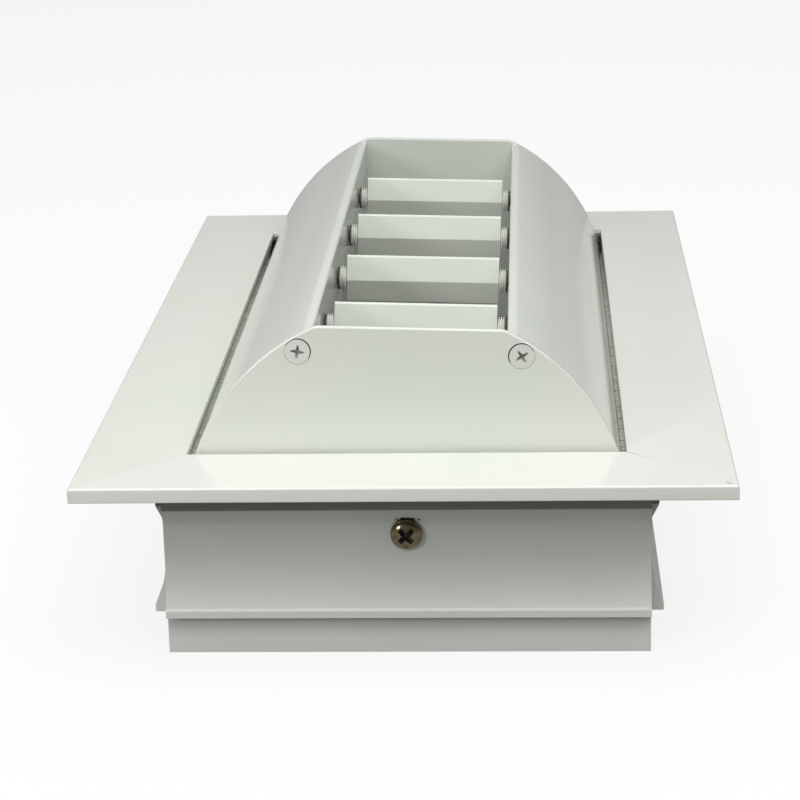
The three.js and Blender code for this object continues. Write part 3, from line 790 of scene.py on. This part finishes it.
def cross_recess(width, span, depth, top, turn, tip_share):
    """A screwdriver's cross recess as a tool: two crossed wedges, narrower towards the bottom, from top along
    +Y. tip_share is how much of the width is left at the ends of the arms."""
    wider = 1 + (1 - recess_bottom_width_share) * recess_lead / depth
    longer = 1 + (1 - recess_bottom_span_share) * recess_lead / depth
    wedges = []
    for quarter in (0, 90):
        wedge = bmesh.new()
        bmesh.ops.create_cube(wedge, size=1)
        everything = wedge.verts[:] + wedge.edges[:] + wedge.faces[:]
        bmesh.ops.bisect_plane(wedge, geom=everything, plane_co=(0, 0, 0), plane_no=(0, 0, 1), dist=same)
        for v in wedge.verts:
            deep = v.co.y > 0
            at_tip = abs(v.co.z) > 0.25
            v.co.x *= width * (recess_bottom_width_share if deep else wider) * (tip_share if at_tip else 1)
            v.co.z *= span * (recess_bottom_span_share if deep else longer)
            v.co.y = top + depth if deep else top - recess_lead
        wedges.append(turn_shape(wedge, math.radians(turn + quarter), "Y"))
    return wedges


def pivot_screw(turn):
    """A pan head screw with a true helical thread and a cross recess."""
    side = pivot_head_height * pivot_head_side_share
    dome = pivot_head_height - side
    profile = [(0, -pivot_head_height)]
    for step in range(1, pivot_dome_steps + 1):
        angle = math.pi / 2 * step / pivot_dome_steps
        profile.append((pivot_head_radius * math.sin(angle), -side - dome * math.cos(angle)))
    core = pivot_radius - thread_depth
    start = pivot_plain_length + thread_depth
    profile += [
        (pivot_head_radius, 0), (pivot_radius, 0), (pivot_radius, pivot_plain_length), (core, start),
        (core, pivot_length - thread_depth), (core - thread_depth, pivot_length), (0, pivot_length),
    ]
    recess = cross_recess(
        pivot_recess_width, pivot_recess_span, pivot_recess_depth, -pivot_head_height, turn, pivot_tip_share
    )
    shape = combine(spin_round(profile), recess)
    # The recess's faces take the second material, painted dark as shade.
    for face in shape.faces:
        middle = face.calc_center_median()
        share = math.hypot(middle.x, middle.z) / pivot_head_radius
        if middle.y < 0 and share < recess_zone_share:
            if middle.y > facet_sag - side - dome * math.sqrt(1 - share**2):
                face.material_index = 1
    turns = math.floor((pivot_length - start - thread_depth) / thread_pitch) - 1
    tooth = thread_pitch * thread_tooth_share
    foot = core - thread_depth / 4  # inside the core, so that no gap shows
    thread = bmesh.new()
    section = thread.faces.new([
        thread.verts.new((radius, start + along, 0))
        for radius, along in ((foot, 0), (pivot_radius, tooth / 2), (foot, tooth))
    ])
    bmesh.ops.spin(
        thread, geom=[section], cent=(0, 0, 0), axis=(0, 1, 0),
        dvec=(0, thread_pitch / thread_steps, 0), angle=2 * math.pi * turns, steps=thread_steps * turns,
        use_merge=False, use_normal_flip=False,
    )
    bmesh.ops.recalc_face_normals(thread, faces=thread.faces)
    pour_in(shape, thread)
    return shape


def pivot_nut():
    """A hexagon nut with chamfered corners on both faces."""
    end = washer_end + nut_thickness
    flat = nut_across_flats / 2
    corner = flat / math.cos(math.pi / 6)
    wide = corner * 2 - flat
    slope = (wide - flat) * math.tan(nut_chamfer)
    nut = rod(corner, Vector((0, washer_end, 0)), Vector((0, end, 0)), segments=6)
    lathe = spin_round([
        (0, washer_end), (flat, washer_end), (wide, washer_end + slope), (wide, end - slope), (flat, end),
        (0, end),
    ], segments=96)
    mouth = pivot_bore + nut_bore_chamfer + nut_lead
    drill = spin_round([
        (0, washer_end - nut_lead), (mouth, washer_end - nut_lead),
        (pivot_bore, washer_end + nut_bore_chamfer), (pivot_bore, end - nut_bore_chamfer),
        (mouth, end + nut_lead), (0, end + nut_lead),
    ])
    return combine(combine(nut, [lathe], "INTERSECT"), [drill])


def passivated_zinc(name, tones, roughness):
    """Zinc plate with a chromate film: metal whose colour drifts between the film's tones over a few
    millimetres, under a film of oil that gives white highlights."""
    made = new_material(name)
    place = add_node(made, "TexCoord", out="Object")
    film = add_node(
        made, "TexNoise", {"Vector": place, "Scale": 1 / (3.4 * mm), "Detail": 1, "Distortion": 0.5}
    )
    tone_shift = add_node(made, "MapRange", {"Value": film, "From Min": 0.36, "From Max": 0.52})
    thick = add_node(made, "MapRange", {"Value": film, "From Min": 0.5, "From Max": 0.66})
    tone = add_node(made, "Mix", {0: tone_shift, 6: tones[0], 7: tones[1]}, 2, data_type="RGBA")
    tone = add_node(made, "Mix", {0: thick, 6: tone, 7: tones[2]}, 2, data_type="RGBA")
    grain = add_node(made, "TexNoise", {"Vector": place, "Scale": 1 / (0.35 * mm), "Detail": 2})
    uneven = add_node(
        made, "MapRange", {"Value": grain, "To Min": roughness - 0.06, "To Max": roughness + 0.08}
    )
    pits = add_node(made, "Bump", {"Height": grain, "Strength": 0.15, "Distance": 0.03 * mm})
    return show(made, add_node(
        made, "BsdfPrincipled",
        {
            "Base Color": tone, "Metallic": 1, "Roughness": uneven, "Normal": pits,
            "Coat Weight": 0.7, "Coat Roughness": 0.12,
        },
    ))


def painted_gap_shade(name, dark, light):
    """A recess or a gap painted dark as shade, flecked with a lighter colour like dust bound with oil."""
    made = new_material(name)
    place = add_node(made, "TexCoord", out="Object")
    crumbs = add_node(made, "TexNoise", {"Vector": place, "Scale": 1 / (0.3 * mm), "Detail": 3})
    tone = add_node(made, "Mix", {0: crumbs, 6: dark, 7: light}, 2, data_type="RGBA")
    lumps = add_node(made, "Bump", {"Height": crumbs, "Strength": 0.5, "Distance": 0.05 * mm})
    return show(made, add_node(
        made, "BsdfPrincipled", {"Base Color": tone, "Roughness": 0.75, "Normal": lumps},
    ))


def white_nylon(name):
    """Moulded polyamide: warm white, half dull, letting a little light in."""
    made = new_material(name)
    place = add_node(made, "TexCoord", out="Object")
    flow = add_node(made, "TexNoise", {"Vector": place, "Scale": 1 / (3 * mm), "Detail": 2})
    tone = add_node(made, "Mix", {0: flow, 6: "#dfe2da", 7: "#eceee8"}, 2, data_type="RGBA")
    dull = add_node(made, "MapRange", {"Value": flow, "To Min": 0.32, "To Max": 0.44})
    skin = add_node(made, "TexNoise", {"Vector": place, "Scale": 1 / (0.4 * mm), "Detail": 1})
    grain = add_node(made, "Bump", {"Height": skin, "Strength": 0.08, "Distance": 0.02 * mm})
    return show(made, add_node(
        made, "BsdfPrincipled",
        {
            "Base Color": tone, "Roughness": dull, "IOR": 1.53, "Normal": grain,
            "Subsurface Weight": 0.15, "Subsurface Radius": (1, 1, 1), "Subsurface Scale": 0.6 * mm,
        },
    ))


# Painted dark shade with some dust, for the pivot screws' recesses and the gaps round the end screws' heads.
shade_and_dust = painted_gap_shade("painted_shade_and_dust", "#1d1a12", "#37342a")
yellow_zinc = passivated_zinc("yellow_passivated_zinc", ("#6d6c40", "#8a7a58", "#645745"), 0.22)
bright_zinc = passivated_zinc("blue_passivated_zinc", ("#a7acb3", "#b4b7b8", "#b9b6a8"), 0.28)
nylon = white_nylon("moulded_white_nylon")
for place, (turn, end) in drum_ends.items():
    bush = spin_round([
        (pivot_bore, wall_thickness), (collar_radius, wall_thickness), (collar_radius, collar_end),
        (shoulder_radius, collar_end), (shoulder_radius, shoulder_end), (pivot_bore, shoulder_end),
        (pivot_bore, wall_thickness),
    ])
    round_edges(bush, sharp_edges(bush), bush_rounding)
    washer = spin_round([
        (pivot_bore, shoulder_end), (washer_radius, shoulder_end), (washer_radius, washer_end),
        (pivot_bore, washer_end), (pivot_bore, shoulder_end),
    ])
    round_edges(washer, sharp_edges(washer), washer_rounding)
    fit = seat(0, end * (frame_length / 2 - wall_offset), axis_height, turn)
    for name, shape, material, slot, others in (
        ("screw", pivot_screw(recess_turns[place]), yellow_zinc, "yellow_zinc", [shade_and_dust]),
        ("bush", bush, nylon, "white_nylon", []),
        ("washer", washer, bright_zinc, "bright_zinc", []),
        ("nut", pivot_nut(), bright_zinc, "bright_zinc", []),
    ):
        finish_piece(
            f"drum_pivot_{name}_{place}", shape, fit, material, "frame", f"pivot_{name}_{place}",
            small_crease, others,
        )

# Drum skins: two curved extrusions. Each is a round shell with the slot's flat wall hanging from its rim and
# two screw ports along it, in the same white powder coat. They are made about the drum's own axis, then
# tilted as the drum stands in the photograph.
skin_thickness = 1.8 * mm
skin_end_angle = math.radians(100)  # from the top
slot_width = 59.6 * mm
rim_width = 2.5 * mm
web_thickness = 2 * mm
web_depth = 25.8 * mm
rim_round = 0.8 * mm
port_radius = 3.8 * mm
port_inset = 4.6 * mm
port_standoff = 2.45 * mm
lower_port_angle = math.radians(93)
port_hole_radius = 2.1 * mm
blade_count = 4
blade_pitch_share = 0.2185  # of the drum's length inside its end plates
blade_pivot_drop = 12.55 * mm
pin_radius = 2 * mm
skin_steps = 96
shade_below_blades = 30 * mm  # from the blades' pivots down, where the slot's walls are painted darker as shade
shade_over_blades = 3 * mm
slot_fade = 6 * mm

blade_axis = Vector(joints["blade_1_turn"]["axis"])
drum_tilt = math.atan2(-blade_axis.z, blade_axis.x)
drum_stand = Matrix.Translation((0, 0, axis_height)) @ Matrix.Rotation(drum_tilt, 4, "Y")
drum_length = frame_length - (flange_border + end_gap) * 2
inner_length = drum_length - end_plate_thickness * 2
web_inner = slot_width / 2
web_outer = web_inner + web_thickness
rim_outer = web_inner + rim_width
rim_height = math.sqrt(drum_radius**2 - rim_outer**2)
heel_height = math.sqrt((drum_radius - skin_thickness) ** 2 - web_outer**2)
blade_height = rim_height - blade_pivot_drop
blade_pitch = blade_pitch_share * inner_length
blade_stations = [(i - (blade_count - 1) / 2) * blade_pitch for i in range(blade_count)]
port_circle = drum_radius - port_inset
upper_port_x = web_outer + port_standoff
hands = {"left": -1, "right": 1}
ports = {
    "upper": (upper_port_x, math.sqrt(port_circle**2 - upper_port_x**2)),
    "lower": (port_circle * math.sin(lower_port_angle), port_circle * math.cos(lower_port_angle)),
}


def drum_skin(side):
    """The right or left skin: the slot's wall hangs from the rim, and the rim's edge is spun to the shell."""
    skin = bmesh.new()
    tip, heel, slot_heel, slot_tip = (
        skin.verts.new((x, -inner_length / 2, z))
        for x, z in (
            (rim_outer, rim_height), (web_outer, heel_height), (web_inner, heel_height),
            (web_inner, rim_height),
        )
    )
    skin.faces.new((tip, heel, slot_heel, slot_tip))
    web_edge = skin.edges.get((heel, slot_heel))
    hung = bmesh.ops.extrude_edge_only(skin, edges=[web_edge])["geom"]
    bmesh.ops.translate(skin, verts=verts_in(hung), vec=(0, 0, rim_height - web_depth - heel_height))
    bmesh.ops.spin(
        skin, geom=[tip, heel, skin.edges.get((tip, heel))], cent=(0, 0, 0), axis=(0, 1, 0),
        angle=skin_end_angle - math.atan2(rim_outer, rim_height), steps=skin_steps, use_merge=False,
    )
    bmesh.ops.remove_doubles(skin, verts=skin.verts, dist=same)
    draw_out(skin, (0, inner_length, 0))
    for rounding, at_rim in ((rim_round, True), (soft_corner, False)):
        long_sharp = [
            e for e in sharp_edges(skin, crease=30)
            if is_long(e, 1, inner_length) and (abs(e.verts[0].co.z - rim_height) < same) == at_rim
        ]
        round_edges(skin, long_sharp, rounding, segments=4)
    half = Vector((0, inner_length / 2, 0))
    past = Vector((0, overrun, 0))
    centres = [Vector((x, 0, z)) for x, z in ports.values()]
    skin = combine(skin, [rod(port_radius, c - half, c + half) for c in centres], "UNION")
    drills = [rod(port_hole_radius, c - half - past, c + half + past) for c in centres]
    across = Vector((web_thickness, 0, 0))
    for y in blade_stations:
        hole = Vector(((web_inner + web_outer) / 2, y, blade_height))
        drills.append(rod(pin_radius + running_gap, hole - across, hole + across))
    skin = combine(skin, drills)
    if side < 0:
        bmesh.ops.scale(skin, vec=(-1, 1, 1), verts=skin.verts)
        bmesh.ops.reverse_faces(skin, faces=skin.faces)
    return skin


# Painted shade: the slot's walls below the blades are coloured a darker grey.
painted_shade_in_slot = (
    Vector((-web_outer - overrun, -drum_length, axis_height + blade_height - shade_below_blades)),
    Vector((web_outer + overrun, drum_length, axis_height + blade_height + shade_over_blades)),
    "#b0b2a9",
    slot_fade,
)
skin_coat = powder_coat(
    "powder_coated_drum_skin", "#e1e3db", "#dce1d6", "Y", tone_shift=painted_shade_in_slot, roughness=0.09
)
for hand, side in hands.items():
    finish_piece(
        f"drum_shell_{hand}", drum_skin(side), drum_stand, skin_coat, "drum",
        f"drum_skin_{hand}",
    )

# Drum end plates: sheet aluminium blanks, round at the sides and flat at the top, countersunk for four screws
# and bored for the pivot bush, then powder coated with the skins.
end_plate_rise = 1.65 * mm
end_corner_radius = 5.5 * mm
end_corner_steps = 12
plate_edge_round = 0.7 * mm
screw_head_radius = 3.9 * mm  # with its paint
sink_radius = 4.15 * mm
screw_head_depth = 1.6 * mm
screw_shank_radius = 1.8 * mm
screw_length = 13 * mm
screw_point = 1 * mm


def end_plate():
    """The blank, outer face at Y 0: its outline is spun corner by corner on one side and mirrored."""
    flat = rim_height + end_plate_rise
    corner_height = flat - end_corner_radius
    corner_x = math.sqrt((drum_radius - end_corner_radius) ** 2 - corner_height**2)
    corner_turn = math.atan2(corner_x, corner_height)
    plate = bmesh.new()
    top = plate.verts.new((0, 0, flat))
    start = plate.verts.new((corner_x, 0, flat))
    plate.edges.new((top, start))
    arc = [start]
    for centre, angle, steps in (
        ((corner_x, 0, corner_height), corner_turn, end_corner_steps),
        ((0, 0, 0), skin_end_angle - corner_turn, skin_steps),
    ):
        arc = bmesh.ops.spin(
            plate, geom=arc, cent=centre, axis=(0, 1, 0), angle=angle, steps=steps
        )["geom_last"]
    last = verts_in(arc)[0]
    foot = plate.verts.new((0, 0, last.co.z))
    plate.edges.new((last, foot))
    bmesh.ops.mirror(plate, geom=plate.verts[:] + plate.edges[:], axis="X", merge_dist=same)
    bmesh.ops.remove_doubles(plate, verts=plate.verts, dist=same)
    bmesh.ops.contextual_create(plate, geom=plate.edges[:])
    draw_out(plate, (0, end_plate_thickness, 0))
    round_edges(plate, sharp_edges(plate), plate_edge_round, segments=3)
    return plate


def screw_sink(x, z):
    """The countersink of one end screw as a tool."""
    shank = screw_shank_radius + running_gap
    tool = spin_round([
        (0, -overrun), (sink_radius, -overrun), (sink_radius, 0), (shank, screw_head_depth),
        (shank, end_plate_thickness + overrun), (0, end_plate_thickness + overrun),
    ])
    bmesh.ops.translate(tool, verts=tool.verts, vec=(x, 0, z))
    return tool


plate_middle = (drum_length - end_plate_thickness) / 2
# Painted shade: the end plates' inner faces are coloured a greyer white.
painted_shade_inside = (
    Vector((-drum_radius, -plate_middle, -frame_height)),
    Vector((drum_radius, plate_middle, frame_height * 2)),
    "#cdd2c8",
    sharp_fade,
)
plate_coat = powder_coat("powder_coated_end_plate", "#dee0d7", "#dadfd5", "X", tone_shift=painted_shade_inside)
screw_places = [(side * x, z) for side in (-1, 1) for x, z in ports.values()]
for place, (turn, end) in drum_ends.items():
    bearing = rod(
        shoulder_radius + running_gap, Vector((0, -overrun, 0)), Vector((0, end_plate_thickness + overrun, 0))
    )
    plate = combine(end_plate(), [screw_sink(x, z) for x, z in screw_places] + [bearing])
    # The countersink's wall round each head takes the second material, painted dark as shade in the gap.
    for face in plate.faces:
        middle = face.calc_center_median()
        near = min((middle.xz - Vector(spot)).length for spot in screw_places)
        if abs(face.normal.y) < 0.9 and middle.y > soft_corner and near < screw_head_radius - running_gap:
            face.material_index = 1
    fit = drum_stand @ seat(0, end * drum_length / 2, 0, turn)
    finish_piece(
        f"drum_cheek_{place}", plate, fit, plate_coat, "drum", f"drum_end_{place}",
        others=[shade_and_dust],
    )

# End screws: M4 countersunk cross recess screws, driven before the drum was coated, so the paint lies over
# them and fills part of the ring round each head. Each head sits a little off the middle of its countersink.
recess_width = 1.3 * mm
recess_span = 4.3 * mm
recess_depth = 1.2 * mm
recess_tip_share = 0.35  # of its width, at the ends of its arms
head_rim = 0.15 * mm  # straight side of the head, above its cone
head_shift = 0.22 * mm
shift_outwards = 0.5  # parts of the shift's direction
shift_downwards = 0.85
fill_angle = math.radians(172)  # of the ring that the paint fills
fill_steps = 32


def end_screw(turn, shift):
    """A countersunk screw along +Y with a thin flat rim round the head, and the paint that fills the ring on
    the side towards which the head is shifted."""
    shape = spin_round([
        (0, 0), (screw_head_radius - head_rim / 2, 0), (screw_head_radius, head_rim / 2),
        (screw_head_radius, head_rim), (screw_shank_radius, screw_head_depth + head_rim),
        (screw_shank_radius, screw_length - screw_point), (screw_shank_radius / 2, screw_length),
        (0, screw_length),
    ])
    shape = combine(shape, cross_recess(recess_width, recess_span, recess_depth, 0, turn, recess_tip_share))
    # Faces below the head's face take painted shade: dark on the flank and in the gap, lighter in the recess.
    for face in shape.faces:
        middle = face.calc_center_median()
        if middle.y > head_rim:
            in_recess = math.hypot(middle.x, middle.z) < recess_span / 2 > middle.y
            face.material_index = 2 if in_recess else 1
    fill = bmesh.new()
    inner = screw_head_radius - head_rim
    outer = sink_radius + head_rim / 5
    front = head_rim / 3
    back = head_rim * 3
    band = fill.faces.new([
        fill.verts.new((r, y, 0)) for r, y in ((inner, front), (outer, front), (outer, back), (inner, back))
    ])
    turn_shape(fill, math.atan2(-shift.z, shift.x) - fill_angle / 2, "Y")
    bmesh.ops.spin(
        fill, geom=[band], cent=(0, 0, 0), axis=(0, 1, 0), angle=fill_angle, steps=fill_steps, use_merge=False
    )
    bmesh.ops.recalc_face_normals(fill, faces=fill.faces)
    bmesh.ops.translate(fill, verts=fill.verts, vec=-shift)
    pour_in(shape, fill)
    return shape


screw_coat = powder_coat("powder_coated_screw_head", "#dcded6", "#d6d9cf", "Y")
# The end screws' recesses: painted shade with some dust, a darker grey than the paint.
recess_shade_and_dust = painted_gap_shade("painted_shade_and_dust_in_recess", "#84857d", "#b8b9b0")
screw_turns = {"front_upper_left": 6, "front_upper_right": -35}
draw = random.Random(5)
for place, (turn, end) in drum_ends.items():
    for level, (x, z) in ports.items():
        for hand, side in hands.items():
            name = f"{place}_{level}_{hand}"
            shift = Vector((side * shift_outwards, 0, -shift_downwards)).normalized() * head_shift
            fit = drum_stand @ seat(side * x + shift.x, end * drum_length / 2, z + shift.z, turn)
            shift.x *= -end  # as the screw sees it, before it is turned to the back
            screw = end_screw(screw_turns.get(name, draw.uniform(0, 90)), shift)
            finish_piece(
                f"cheek_screw_{name}", screw, fit, screw_coat, "drum", f"end_screw_{name}",
                small_crease, [shade_and_dust, recess_shade_and_dust],
            )

# Blades: slim extrusions, thickest at the pivot line, with rounded noses and a bore for the spigots of their
# bushes. The coat is a shade greener than the frame's.
blade_chord = 16.6 * mm
blade_thickness = 6.4 * mm
blade_nose_radius = 0.85 * mm
bush_head_length = 2.9 * mm
blade_length = slot_width - (running_gap + bush_head_length + seat_gap) * 2
ridge_round = 0.25 * mm
nose_steps = 10


def blade_shape():
    """A blade along X: one nose is spun, copied to the other side, and joined to it by flat facets."""
    nose_centre = blade_chord / 2 - blade_nose_radius
    lean = math.atan2(blade_thickness / 2, nose_centre) - math.asin(
        blade_nose_radius / math.hypot(blade_thickness / 2, nose_centre)
    )
    shape = bmesh.new()
    side = blade_nose_radius * math.cos(lean)
    start = shape.verts.new((-blade_length / 2, side, nose_centre + blade_nose_radius * math.sin(lean)))
    bmesh.ops.spin(
        shape, geom=[start], cent=(0, 0, nose_centre), axis=(1, 0, 0), angle=math.pi - 2 * lean,
        steps=nose_steps,
    )
    low = bmesh.ops.duplicate(shape, geom=shape.verts[:] + shape.edges[:])["geom"]
    bmesh.ops.rotate(shape, verts=verts_in(low), cent=(0, 0, 0), matrix=Matrix.Rotation(math.pi, 3, "X"))
    for side in (-1, 1):
        ridge = shape.verts.new((-blade_length / 2, side * blade_thickness / 2, 0))
        ends = [v for v in shape.verts if len(v.link_edges) == 1 and v.co.y * side > 0]
        for end in ends:
            shape.edges.new((end, ridge))
    bmesh.ops.contextual_create(shape, geom=shape.edges[:])
    draw_out(shape, (blade_length, 0, 0))
    ridges = [e for e in shape.edges if is_long(e, 0, blade_length) and abs(e.verts[0].co.z) < same]
    round_edges(shape, ridges, ridge_round, segments=3)
    round_edges(shape, sharp_edges(shape), die_corner)
    reach = Vector((blade_length, 0, 0))
    return combine(shape, [rod(pin_radius + seat_gap, -reach, reach)])


blade_coat = powder_coat("powder_coated_blade", "#dbdfd5", "#d6dcd0", "X")
for number, y in enumerate(blade_stations, 1):
    fit = drum_stand @ seat(0, y, blade_height, 0)
    node = f"blade_{number}"
    finish_piece(f"louvre_{number}", blade_shape(), fit, blade_coat, node, node)

# Blade bushes: small nylon mouldings. A spigot is pushed into the blade's bore, the head has three round
# ribs, and a pin turns in the slot's wall. The last groove, at the wall, is painted dark as shade. Each is
# made along +Y from the blade's end face.
bush_radius = 4.35 * mm
rib_depth = 1 * mm
rib_count = 3
rib_width_share = 0.6  # of the ribs' pitch
rib_steps = 6
neck_radius = 3.9 * mm  # of the groove at the wall
neck_length = 0.55 * mm
spigot_length = 8 * mm
pin_overrun = 0.8 * mm
# Painted dark shade for the groove at the wall.
bush_groove_shade = painted_gap_shade("painted_shade_on_nylon", "#35342b", "#56554a")


def blade_bush():
    """The bush's profile, with each rib a half round, spun about its axis."""
    pitch = (bush_head_length - neck_length) / rib_count
    valley = bush_radius - rib_depth
    profile = [
        (0, -spigot_length), (pin_radius - die_corner, -spigot_length),
        (pin_radius, die_corner - spigot_length), (pin_radius, seat_gap),
    ]
    for rib in range(rib_count):
        start = seat_gap + pitch * rib
        profile.append((valley, start))
        for step in range(rib_steps + 1):
            angle = math.pi * step / rib_steps
            along = start + pitch / 2 * (1 - rib_width_share * math.cos(angle))
            profile.append((valley + rib_depth * math.sin(angle), along))
        profile.append((valley, start + pitch))
    head_end = seat_gap + bush_head_length
    tip = head_end + running_gap + web_thickness + pin_overrun
    profile += [
        (neck_radius, head_end - neck_length), (neck_radius, head_end), (pin_radius, head_end),
        (pin_radius, tip - die_corner), (pin_radius - die_corner, tip), (0, tip),
    ]
    shape = spin_round(profile, segments=48)
    # The groove at the wall and the pin take the second material, painted dark as shade.
    for face in shape.faces:
        if face.calc_center_median().y > head_end - neck_length:
            face.material_index = 1
    return shape


for number, y in enumerate(blade_stations, 1):
    for hand, side in hands.items():
        fit = drum_stand @ seat(side * blade_length / 2, y, blade_height, -90 * side)
        finish_piece(
            f"louvre_{number}_collar_{hand}", blade_bush(), fit, nylon, f"blade_{number}",
            f"blade_{number}_bush_{hand}", small_crease, [bush_groove_shade],
        )
